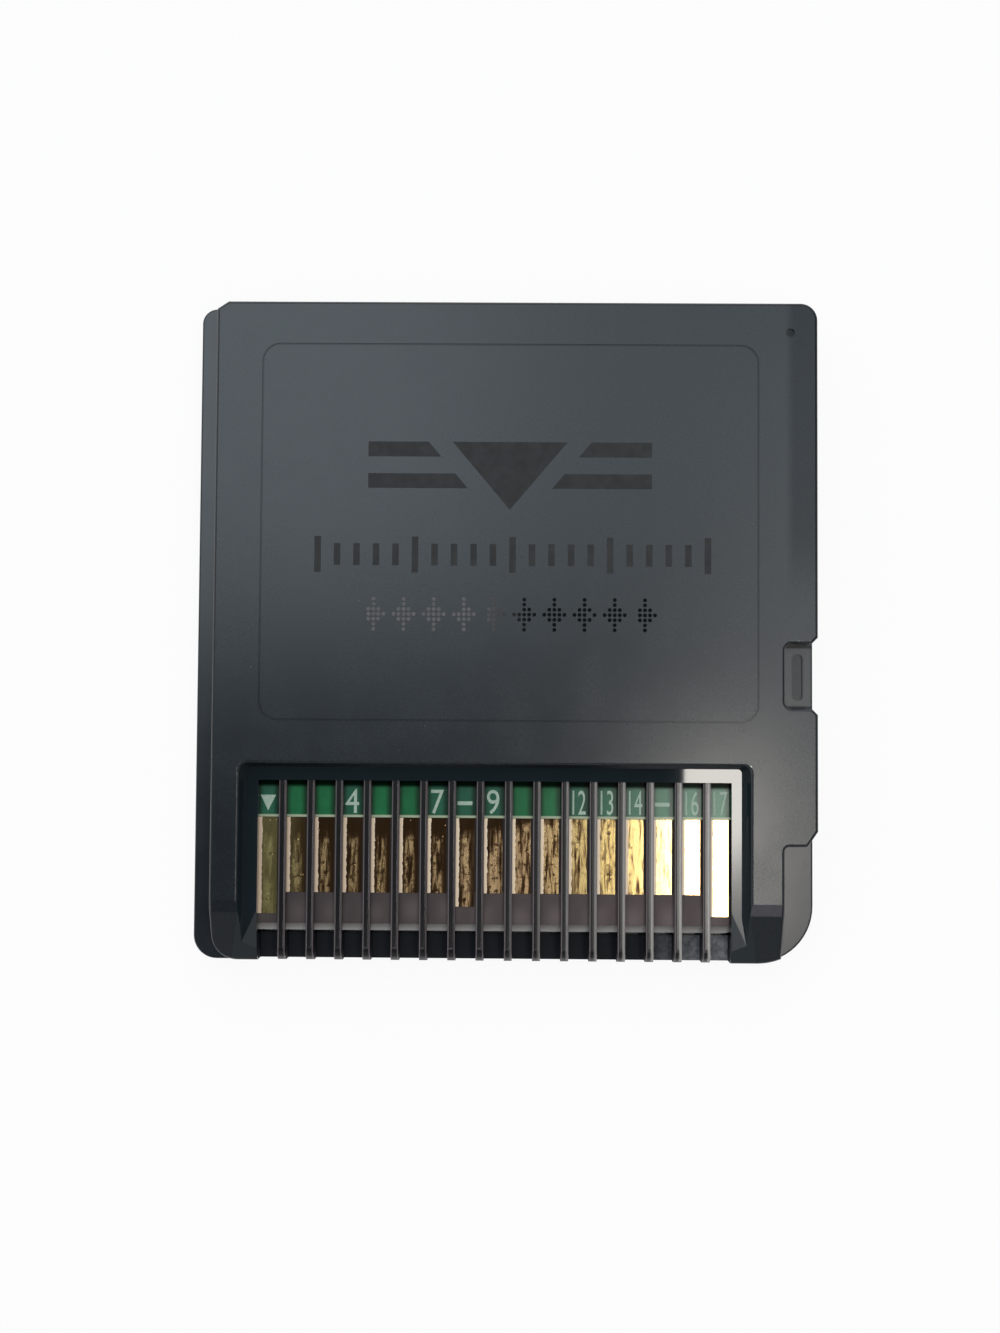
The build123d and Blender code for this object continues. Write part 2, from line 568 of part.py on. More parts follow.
# Contacts: the outer two are longest, so they meet the slot first
for number in range(1, CONTACT_COUNT + 1):
    pad_length = PAD_LENGTH
    if number in (1, CONTACT_COUNT):
        pad_length = OUTER_PAD_LENGTH
    if number == SENSE_PAD_INDEX:
        pad_length = SENSE_PAD_LENGTH
    pad_x = BOARD_X + CONTACT_PITCH * (number - (CONTACT_COUNT + 1) / 2)
    with BuildPart() as contact_pad:
        with BuildSketch(Plane.XY.offset(BOARD_TOP)):
            with Locations((pad_x, PAD_REAR_Y - pad_length / 2)):
                Rectangle(PAD_WIDTH, pad_length)
        extrude(amount=PAD_THICKNESS)
    finish(contact_pad, f"contact_pad_{number:02d}")


# Program memory and the smaller memory for saved games, each with a row of leads at both ends
CHIPS = [
    ("rom_chip", BOARD_X, ROM_Y, ROM_LENGTH, ROM_WIDTH, ROM_LEAD_COUNT, ROM_LEAD_PITCH),
    ("save_chip", SAVE_X, SAVE_Y, SAVE_LENGTH, SAVE_WIDTH, SAVE_LEAD_COUNT, SAVE_LEAD_PITCH),
]
for name, chip_x, chip_y, length, width, lead_count, lead_pitch in CHIPS:
    with BuildPart() as chip:
        with BuildSketch(Plane.XY.offset(CHIP_BOTTOM)):
            with Locations((chip_x, chip_y)):
                Rectangle(length, width)
        extrude(amount=CHIP_THICKNESS)
        chamfer(chip.faces().filter_by(Axis.Z).edges(), CHIP_EDGE)
        with BuildSketch(Plane.XY.offset(CHIP_BOTTOM + CHIP_THICKNESS)) as first_lead_dot:
            with Locations((chip_x - length / 2 + DOT_INSET, chip_y + width / 2 - DOT_INSET)):
                Circle(DOT_RADIUS)
        extrude(amount=-DOT_DEPTH, mode=Mode.SUBTRACT)
    finish(chip, name)

    first_lead_y = chip_y - lead_pitch * (lead_count - 1) / 2
    lead_planes = [Plane.XZ.offset(-first_lead_y - lead_pitch * index) for index in range(lead_count)]
    with BuildPart() as chip_leads:
        with BuildSketch(*lead_planes) as lead_section:
            for side in (-1, 1):
                chip_end = chip_x + side * length / 2
                riser = chip_end + side * (LEAD_SHOULDER - LEAD_THICKNESS / 2)
                foot_middle = chip_end + side * (LEAD_SHOULDER + LEAD_FOOT / 2 - LEAD_THICKNESS)
                with Locations((chip_end + side * LEAD_SHOULDER / 2, LEAD_HEIGHT)):
                    Rectangle(LEAD_SHOULDER, LEAD_THICKNESS)
                with Locations((riser, (MASK_TOP + LEAD_HEIGHT) / 2)):
                    Rectangle(LEAD_THICKNESS, LEAD_HEIGHT - MASK_TOP)
                with Locations((foot_middle, MASK_TOP + LEAD_THICKNESS / 2)):
                    Rectangle(LEAD_FOOT, LEAD_THICKNESS)
        extrude(amount=LEAD_WIDTH / 2, both=True)
    finish(chip_leads, f"{name}_leads")

# Small capacitors, then small resistors, in one row, each with a metal cap over both ends
for index in range(CAPACITOR_COUNT + RESISTOR_COUNT):
    is_capacitor = index < CAPACITOR_COUNT
    with BuildPart() as small_part:
        with BuildSketch(Plane.XY.offset(MASK_TOP)):
            with Locations((SAVE_X + SMALL_PART_ADVANCE + index * SMALL_PART_PITCH, SAVE_Y)):
                Rectangle(SMALL_PART_WIDTH - 2 * SMALL_PART_STEP, SMALL_PART_LENGTH)
                with GridLocations(0, SMALL_PART_LENGTH - SMALL_PART_CAP, 1, 2):
                    Rectangle(SMALL_PART_WIDTH, SMALL_PART_CAP)
        extrude(amount=CAPACITOR_HEIGHT if is_capacitor else RESISTOR_HEIGHT)
    if is_capacitor:
        finish(small_part, f"capacitor_{index + 1}")
    else:
        finish(small_part, f"resistor_{index + 1 - CAPACITOR_COUNT}")
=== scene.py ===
import json
import math

import bmesh
import bpy
from mathutils import Matrix, Vector


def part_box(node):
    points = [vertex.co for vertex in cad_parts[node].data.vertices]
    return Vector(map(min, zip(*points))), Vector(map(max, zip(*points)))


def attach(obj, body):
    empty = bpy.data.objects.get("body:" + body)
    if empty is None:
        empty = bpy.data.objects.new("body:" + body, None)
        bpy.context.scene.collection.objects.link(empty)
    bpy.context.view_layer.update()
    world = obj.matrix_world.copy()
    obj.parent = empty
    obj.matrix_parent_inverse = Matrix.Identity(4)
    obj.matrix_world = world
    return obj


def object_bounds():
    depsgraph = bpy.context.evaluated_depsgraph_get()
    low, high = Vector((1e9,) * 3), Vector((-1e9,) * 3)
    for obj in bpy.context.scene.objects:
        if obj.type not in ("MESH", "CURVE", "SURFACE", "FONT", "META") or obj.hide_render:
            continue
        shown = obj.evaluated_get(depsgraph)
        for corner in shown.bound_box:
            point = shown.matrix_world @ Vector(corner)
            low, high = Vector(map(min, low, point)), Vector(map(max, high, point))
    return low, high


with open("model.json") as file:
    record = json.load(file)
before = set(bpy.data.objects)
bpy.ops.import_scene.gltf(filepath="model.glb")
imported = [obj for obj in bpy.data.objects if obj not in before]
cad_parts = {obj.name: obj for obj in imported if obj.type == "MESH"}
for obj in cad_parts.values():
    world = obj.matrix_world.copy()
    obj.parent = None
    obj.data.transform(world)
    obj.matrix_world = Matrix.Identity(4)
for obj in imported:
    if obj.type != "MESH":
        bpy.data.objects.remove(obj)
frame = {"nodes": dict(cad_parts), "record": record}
cad_box = [list(corner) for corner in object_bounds()]
nodes = frame["nodes"]

# Sizes are written in millimetres and turned into metres by MM
MM = 0.001
FIRST_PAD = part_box("contact_pad_01")
SECOND_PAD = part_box("contact_pad_02")
PAD_PITCH = (SECOND_PAD[0].x - FIRST_PAD[0].x) / MM
PAD_WIDTH = (FIRST_PAD[1].x - FIRST_PAD[0].x) / MM
FIRST_PAD_X = (FIRST_PAD[0].x + FIRST_PAD[1].x) / 2 / MM
PAD_FRONT_Y = SECOND_PAD[0].y / MM
MASK_FRONT_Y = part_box("solder_mask")[0].y / MM
MASK_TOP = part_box("solder_mask")[1].z / MM
BOARD_FRONT_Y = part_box("circuit_board")[0].y / MM
BOARD_BEVEL = 0.4
CARD_TOP = cad_box[1][2] / MM
NOSE_Y = cad_box[0][1] / MM
COMB_X = -0.465  # middle of the comb and its recess
COMB_HALF_WIDTH = 12.4
RECESS_HALF_WIDTH = 13.48
RECESS_FLARE = 0.42  # how much farther its sides lie out at the nose
RECESS_FLARE_LENGTH = 2.4
RECESS_REAR_Y = -7.02
SLOT_REAR_Y = -7.95
RIB_REACH = 0.22  # half a rib's width and a little over
FOOT_LEVEL = 1.28  # just below the upper face of the comb's foot
POLISH_HEIGHT = 2.42  # the recess is polished above it
LOW_FACE = 2.2  # the ledge and the floors of the notch and the key step lie below it
NOSE_TILT = -0.95  # a face whose normal has less than this along Y looks out of the nose
BEVEL_TILT = -0.3  # and on the board, one with less than this is the bevel
DIMPLE = (15.05, 15.9, CARD_TOP)
DIMPLE_RADIUS = 0.3
# Dark lines on rounded rectangles, a seam or painted shade: their middle, half size and corner
# radius, its distance from the middle of a corner, half its width, and its strength
SEAM_AND_SHADE_LINES = (
    ((0.225, 5.225), (13.125, 9.975), 0.95, 0.95, 0.05, 0.33),  # witness line of the mould insert
    ((16.5, -2.3), (1.73, 1.71), 0.38, 0.3, 0.08, 0.7),  # painted shade at the foot of the notch's wall
    ((15.7, -2.3), (0.32, 1.25), 0.3, 0.0, 0.3, 0.35),  # painted shade in the groove in the notch's floor
)
PLAIN_PAIRS = (2, 5, 10)  # first of each two contacts with nothing printed
NUMBERED = (4, 7, 9, 12, 13, 14, 16, 17)
DASHED = (8, 15)
LEGEND_Y = MASK_FRONT_Y + 0.78
LEGEND_SIZE = 1.85
LETTER_STEPS = 4  # pieces that each curve of a letter is drawn in
ONE_DIGIT = 0.85  # how far a number is squeezed across
TWO_DIGITS = 0.5
TRIANGLE = ((-0.41, 0.38), (0.0, -0.45), (0.41, 0.38))
DASH = ((-0.39, -0.1), (0.39, -0.1), (0.39, 0.1), (-0.39, 0.1))
MARK_THICKNESS = 0.012
INSERT_FACE = CARD_TOP - 0.02
MARK_MIDDLE = INSERT_FACE + MARK_THICKNESS / 2
LONG_EVERY = 5.0  # ticks from one long one to the next
LOZENGE_REACH = 3.2  # rows kept on each side of a lozenge's middle
LOZENGE_SLOPE = 1.5  # rows fewer for each column away from it
STRUCK_SHARE = 0.95  # of the dots, where the rest are missing
WEAR_SEED = 4.9  # shifts the streaks along the contacts
ABS_IOR = 1.53
LACQUER_IOR = 1.54
EPOXY_IOR = 1.5
FLOOR_REACH = 1500
WHITE_SHARE = 0.92  # of the floor's look, where the rest takes the shadow
# Name, middle, width, depth, radiance and tint
LAMPS = (
    ("wide_softbox", (-10, 98, 300), 280, 160, 1.55, "#e6f3fb"),
    ("left_softbox", (-77.5, 98, 290), 145, 160, 1.15, "#e6f3fb"),
    ("window_lamp", (26.9, -20, 120), 10.2, 26, 15.5, "#fffaf2"),
    ("right_card", (46, 4, 120), 36, 22, 1.5, "#ffffff"),
    ("window_edge", (38.5, -22, 120), 13, 34, 2.0, "#ffffff"),
    ("upper_right_card", (46, 29, 120), 36, 28, 0.6, "#ffffff"),
    ("strip_lamp", (50, -110, 200), 60, 24, 4.0, "#fbf4fb"),
    ("front_card", (14, -72, 200), 28, 22, 0.5, "#ffffff"),
    ("front_right_card", (-15, -72, 200), 28, 22, 4.5, "#ffffff"),
)
CAMERA_LENS = 43.331
CAMERA_SENSOR = 36.0
CAMERA_PLACE = (0.659, -5.581, 88.113)
CAMERA_TURN = (
    (0.99992, -0.00655, 0.01038),
    (0.00700, 0.99902, -0.04367),
    (-0.01009, 0.04374, 0.99899),
)


def linear(code):
    """Turn an sRGB hex colour into linear RGBA."""
    values = [int(code[place:place + 2], 16) / 255 for place in (1, 3, 5)]
    return [v / 12.92 if v <= 0.04045 else ((v + 0.055) / 1.055) ** 2.4 for v in values] + [1.0]


def per(size):
    """Return a texture's scale for features of a size in millimetres."""
    return 1 / (size * MM)


# Kinds of node: a mix takes its share on input 0, numbers on 2 and 3, and colours on 6 and 7
MATH = "ShaderNodeMath"
VECTOR = "ShaderNodeVectorMath"
MIX = "ShaderNodeMix"
RANGE = "ShaderNodeMapRange"
NOISE = "ShaderNodeTexNoise"
CELLS = "ShaderNodeTexVoronoi"
PLACE = "ShaderNodeTexCoord"
AXES = "ShaderNodeSeparateXYZ"
POINT = "ShaderNodeCombineXYZ"
BUMP = "ShaderNodeBump"
SHADER = "ShaderNodeBsdfPrincipled"
RESULT = "ShaderNodeOutputMaterial"
# Settings and values that several nodes share; most of a noise lies within SPREAD
COLOUR = {"data_type": "RGBA"}
SHADED = {"blend_type": "MULTIPLY", "data_type": "RGBA"}
SOFT = {"interpolation_type": "SMOOTHSTEP"}
SPREAD = {"From Min": 0.3, "From Max": 0.7}
FALLING = {"To Min": 1.0, "To Max": 0.0}


def add(tree, kind, inputs=None, **settings):
    """Add a node with its settings, and values, sockets or other nodes on its inputs."""
    node = tree.nodes.new(kind)
    for name, value in settings.items():
        setattr(node, name, value)
    for key, value in (inputs or {}).items():
        if isinstance(value, bpy.types.Node):
            value = next(socket for socket in value.outputs if socket.enabled)
        if isinstance(value, bpy.types.NodeSocket):
            tree.links.new(value, node.inputs[key])
        else:
            node.inputs[key].default_value = value
    return node


def finish_tree(name):
    """Return a new material and its empty node tree."""
    material = bpy.data.materials.new(name)
    material.use_nodes = True
    material.node_tree.nodes.clear()
    return material, material.node_tree


def grime_line(tree, place, middle, half_size, corner, distance, half_width, strength):
    """Return the dark line on one of the listed rounded rectangles, at any height."""
    span = add(tree, VECTOR, {0: place, 1: (middle[0] * MM, middle[1] * MM, 0.0)}, operation="SUBTRACT")
    span = add(tree, VECTOR, {0: span}, operation="ABSOLUTE")
    # A whole metre off the height leaves none of it above zero
    straight = ((half_size[0] - corner) * MM, (half_size[1] - corner) * MM, 1.0)
    span = add(tree, VECTOR, {0: span, 1: straight}, operation="SUBTRACT")
    span = add(tree, VECTOR, {0: span, 1: (0.0, 0.0, 0.0)}, operation="MAXIMUM")
    span = add(tree, VECTOR, {0: span}, operation="LENGTH")
    line = add(tree, MATH, {0: span, 1: distance * MM, 2: half_width * MM}, operation="COMPARE")
    return add(tree, MATH, {0: line, 1: strength}, operation="MULTIPLY")


def moulded_abs():
    """Charcoal ABS from a spark-eroded mould: an even fine grain that spreads the light into a
    soft sheen, faint flow mottling and specks of dust. The recess is polished and nearly black,
    the ribs carry painted highlights along their edges, brightest on the right edges of the right
    ones, and the comb's foot in the slots carries painted shade and painted glints."""
    material, tree = finish_tree("moulded_abs")
    place = add(tree, PLACE).outputs["Object"]
    x, y, z = add(tree, AXES, {0: place}).outputs
    normal = add(tree, "ShaderNodeNewGeometry").outputs["Normal"]
    _, tilt_y, tilt_z = add(tree, AXES, {0: normal}).outputs
    upper = add(tree, RANGE, {"Value": tilt_z, "From Min": 0.2, "From Max": 0.5}, **SOFT)

    # The recess in plan, down to the comb's foot and behind the nose, and its depth below the polish
    offset = add(tree, MATH, {0: x, 1: COMB_X * MM}, operation="SUBTRACT")
    aside = add(tree, MATH, {0: offset}, operation="ABSOLUTE")
    half = add(tree, RANGE, {
        "Value": y, "From Min": (NOSE_Y + RECESS_FLARE_LENGTH) * MM, "From Max": NOSE_Y * MM,
        "To Min": RECESS_HALF_WIDTH * MM, "To Max": (RECESS_HALF_WIDTH + RECESS_FLARE) * MM,
    })
    inside = add(tree, MATH, {0: aside, 1: half}, operation="LESS_THAN")
    along = add(tree, MATH, {0: y, 1: RECESS_REAR_Y * MM}, operation="LESS_THAN")
    above = add(tree, MATH, {0: z, 1: FOOT_LEVEL * MM}, operation="GREATER_THAN")
    behind = add(tree, MATH, {0: tilt_y, 1: NOSE_TILT}, operation="GREATER_THAN")
    for mask in (along, above, behind):
        inside = add(tree, MATH, {0: inside, 1: mask}, operation="MULTIPLY")
    low = add(tree, MATH, {0: z, 1: POLISH_HEIGHT * MM}, operation="LESS_THAN")
    deep = add(tree, MATH, {0: inside, 1: low}, operation="MULTIPLY")

    # The ribs, their right edges, and the distance from a rib's middle
    rib = add(tree, MATH, {0: offset, 1: PAD_PITCH * MM, 2: 0.0}, operation="WRAP")
    rib = add(tree, MATH, {0: rib, 1: PAD_PITCH / 2 * MM}, operation="SUBTRACT")
    edge = add(tree, RANGE, {"Value": rib, "From Min": 0.0, "From Max": 0.12 * MM}, **SOFT)
    rib = add(tree, MATH, {0: rib}, operation="ABSOLUTE")
    on_rib = add(tree, MATH, {0: rib, 1: RIB_REACH * MM}, operation="LESS_THAN")
    comb = add(tree, MATH, {0: aside, 1: COMB_HALF_WIDTH * MM}, operation="LESS_THAN")
    slots = add(tree, MATH, {0: y, 1: SLOT_REAR_Y * MM}, operation="LESS_THAN")
    for mask in (comb, slots, above):
        on_rib = add(tree, MATH, {0: on_rib, 1: mask}, operation="MULTIPLY")

    # The real grain is about 0.03 mm, too fine to show, so it is drawn at 0.11 mm
    grain = add(tree, NOISE, {"Vector": place, "Scale": per(0.11), "Detail": 2.0})
    mottle = add(tree, NOISE, {"Vector": place, "Scale": per(2.6), "Detail": 3.0})
    face = add(tree, MIX, {0: mottle, 6: linear("#141a20"), 7: linear("#1b2229")}, **COLOUR)
    speckle = add(tree, RANGE, {
        "Value": grain, "From Min": 0.35, "From Max": 0.65, "To Min": 0.84, "To Max": 1.16,
    })
    face = add(tree, MIX, {0: 1.0, 6: face, 7: speckle}, **SHADED)
    gloss = add(tree, MIX, {0: mottle, 6: linear("#1a2327"), 7: linear("#222b31")}, **COLOUR)
    colour = add(tree, MIX, {0: inside, 6: face, 7: gloss}, **COLOUR)

    # Painted highlights on both edges of the ribs, and a brighter painted highlight on the right edge
    # towards the right
    rib_edge_highlight = add(tree, RANGE, {"Value": rib, "From Min": 0.11 * MM, "From Max": 0.17 * MM}, **SOFT)
    rib_edge_highlight = add(tree, MATH, {0: rib_edge_highlight, 1: upper}, operation="MULTIPLY")
    ribs = add(tree, MIX, {0: rib_edge_highlight, 6: linear("#100f13"), 7: linear("#6d6467")}, **COLOUR)
    right_highlight_share = add(tree, RANGE, {"Value": x, "From Min": -1.0 * MM, "From Max": 9.0 * MM})
    for mask in (upper, right_highlight_share):
        edge = add(tree, MATH, {0: edge, 1: mask}, operation="MULTIPLY")
    ribs = add(tree, MIX, {0: edge, 6: ribs, 7: linear("#b4b0ad")}, **COLOUR)
    colour = add(tree, MIX, {0: on_rib, 6: colour, 7: ribs}, **COLOUR)

    # Painted shade on the comb's foot deep in the slots, and painted glints on its upper face below the
    # last contacts
    shade = add(tree, MIX, {0: mottle, 6: linear("#0c1016"), 7: linear("#141920")}, **COLOUR)
    glint_noise = add(tree, NOISE, {"Vector": place, "Scale": per(0.3), "Detail": 3.0})
    glint_noise = add(tree, RANGE, {"Value": glint_noise, "From Min": 0.1, "From Max": 0.75})
    glints = add(tree, RANGE, {"Value": x, "From Min": 7.4 * MM, "From Max": 11.0 * MM})
    for mask in (glint_noise, upper):
        glints = add(tree, MATH, {0: glints, 1: mask}, operation="MULTIPLY")
    shade = add(tree, MIX, {0: glints, 6: shade, 7: linear("#9a9ca2")}, **COLOUR)
    colour = add(tree, MIX, {0: deep, 6: colour, 7: shade}, **COLOUR)

    # Painted shade in the dimple and in the notch, and the dark witness line of the insert, clear of
    # the label side
    seam_and_shade = add(tree, VECTOR, {0: place, 1: Vector(DIMPLE) * MM}, operation="DISTANCE")
    seam_and_shade = add(tree, RANGE, {
        "Value": seam_and_shade, "From Min": DIMPLE_RADIUS / 2 * MM, "From Max": DIMPLE_RADIUS * MM,
        "To Min": 0.55, "To Max": 0.0,
    }, **SOFT)
    for line in SEAM_AND_SHADE_LINES:
        seam_and_shade = add(tree, MATH, {0: seam_and_shade, 1: grime_line(tree, place, *line)}, operation="MAXIMUM")
    seam_and_shade = add(tree, MATH, {0: seam_and_shade, 1: above}, operation="MULTIPLY")
    colour = add(tree, MIX, {0: seam_and_shade, 6: colour, 7: linear("#080b0d")}, **COLOUR)

    # Dust, which shows most on the polish
    motes = add(tree, CELLS, {"Vector": place, "Scale": per(1.1)})
    size = add(tree, MIX, {0: inside, 2: 0.028, 3: 0.06})
    fleck = add(tree, RANGE, {
        "Value": motes, "From Min": 0.01, "From Max": size, "To Min": 0.7, "To Max": 0.0,
    }, **SOFT)
    few = add(tree, MATH, {0: motes.outputs["Color"], 1: 0.4}, operation="LESS_THAN")
    fleck = add(tree, MATH, {0: fleck, 1: few}, operation="MULTIPLY")
    colour = add(tree, MIX, {0: fleck, 6: colour, 7: linear("#8b8d8e")}, **COLOUR)

    # The slot has dulled the right wall's polish towards the front
    matt = add(tree, RANGE, {"Value": mottle, **SPREAD, "To Min": 0.23, "To Max": 0.26})
    smooth = add(tree, RANGE, {"Value": mottle, **SPREAD, "To Min": 0.02, "To Max": 0.04})
    dulled = add(tree, RANGE, {
        "Value": y, "From Min": -8.5 * MM, "From Max": -15.5 * MM, "To Max": 0.23,
    }, **SOFT)
    right = add(tree, MATH, {0: offset, 1: COMB_HALF_WIDTH * MM}, operation="GREATER_THAN")
    smooth = add(tree, MATH, {0: dulled, 1: right, 2: smooth}, operation="MULTIPLY_ADD")
    rough = add(tree, MIX, {0: inside, 2: matt, 3: smooth})
    rough = add(tree, MIX, {0: on_rib, 2: rough, 3: 0.22})
    rough = add(tree, MIX, {0: deep, 2: rough, 3: 0.65})

    # Painted shade: less sheen at the right edge, towards the grip; painted sheen: a little more on the
    # low faces
    right_edge_shade = add(tree, RANGE, {"Value": x, "From Min": 14.7 * MM, "From Max": 15.3 * MM}, **SOFT)
    grip = add(tree, RANGE, {"Value": y, "From Min": 0.5 * MM, "From Max": 6.0 * MM}, **SOFT)
    right_edge_shade = add(tree, MATH, {0: right_edge_shade, 1: grip}, operation="MULTIPLY")
    lower = add(tree, MATH, {0: z, 1: LOW_FACE * MM}, operation="LESS_THAN")
    sheen = add(tree, MIX, {0: lower, 2: 0.5, 3: 0.57})
    for mask, level in ((right_edge_shade, 0.34), (seam_and_shade, 0.12), (deep, 0.25)):
        sheen = add(tree, MIX, {0: mask, 2: sheen, 3: level})
    relief = add(tree, MIX, {0: inside, 2: 0.16, 3: 0.0})
    bump = add(tree, BUMP, {"Strength": relief, "Distance": 0.005 * MM, "Height": grain})
    shader = add(tree, SHADER, {
        "Base Color": colour, "Roughness": rough, "IOR": ABS_IOR, "Specular IOR Level": sheen,
        "Normal": bump,
    })
    add(tree, RESULT, {"Surface": shader})
    return material


def etched_abs():
    """The same ABS where the mould insert is etched: matt and darker than the grain round it."""
    material, tree = finish_tree("etched_abs")
    place = add(tree, PLACE).outputs["Object"]
    mottle = add(tree, NOISE, {"Vector": place, "Scale": per(0.5), "Detail": 3.0})
    colour = add(tree, MIX, {0: mottle, 6: linear("#0a0c0f"), 7: linear("#14181c")}, **COLOUR)
    rough = add(tree, RANGE, {"Value": mottle, **SPREAD, "To Min": 0.52, "To Max": 0.66})
    shader = add(tree, SHADER, {"Base Color": colour, "Roughness": rough, "IOR": ABS_IOR})
    add(tree, RESULT, {"Surface": shader})
    return material


def stamped_abs():
    """ABS bruised by a marking pin: each dot is pressed dark, and the pin's pressure fades to the
    left, where the dots stay pale."""
    material, tree = finish_tree("stamped_abs")
    place = add(tree, PLACE).outputs["Object"]
    x, _, _ = add(tree, AXES, {0: place}).outputs
    pressure = add(tree, RANGE, {"Value": x, "From Min": -2.0 * MM, "From Max": 1.4 * MM}, **SOFT)
    crush = add(tree, NOISE, {"Vector": place, "Scale": per(0.16), "Detail": 2.0})
    pale = add(tree, MIX, {0: crush, 6: linear("#3b3c40"), 7: linear("#6e6a6c")}, **COLOUR)
    dark = add(tree, MIX, {0: crush, 6: linear("#07090b"), 7: linear("#10141a")}, **COLOUR)
    colour = add(tree, MIX, {0: pressure, 6: pale, 7: dark}, **COLOUR)
    sheen = add(tree, MIX, {0: pressure, 2: 0.5, 3: 0.05})
    bump = add(tree, BUMP, {"Strength": 0.4, "Distance": 0.02 * MM, "Height": crush})
    shader = add(tree, SHADER, {
        "Base Color": colour, "Roughness": 0.6, "IOR": ABS_IOR, "Specular IOR Level": sheen,
        "Normal": bump,
    })
    add(tree, RESULT, {"Surface": shader})
    return material


def pad_offset(tree, across):
    """Return the distance of a place from the middle of its contact, to the right."""
    offset = add(tree, MATH, {0: across, 1: FIRST_PAD_X * MM}, operation="SUBTRACT")
    half = PAD_PITCH / 2 * MM
    return add(tree, MATH, {0: offset, 1: half, 2: -half}, operation="WRAP")


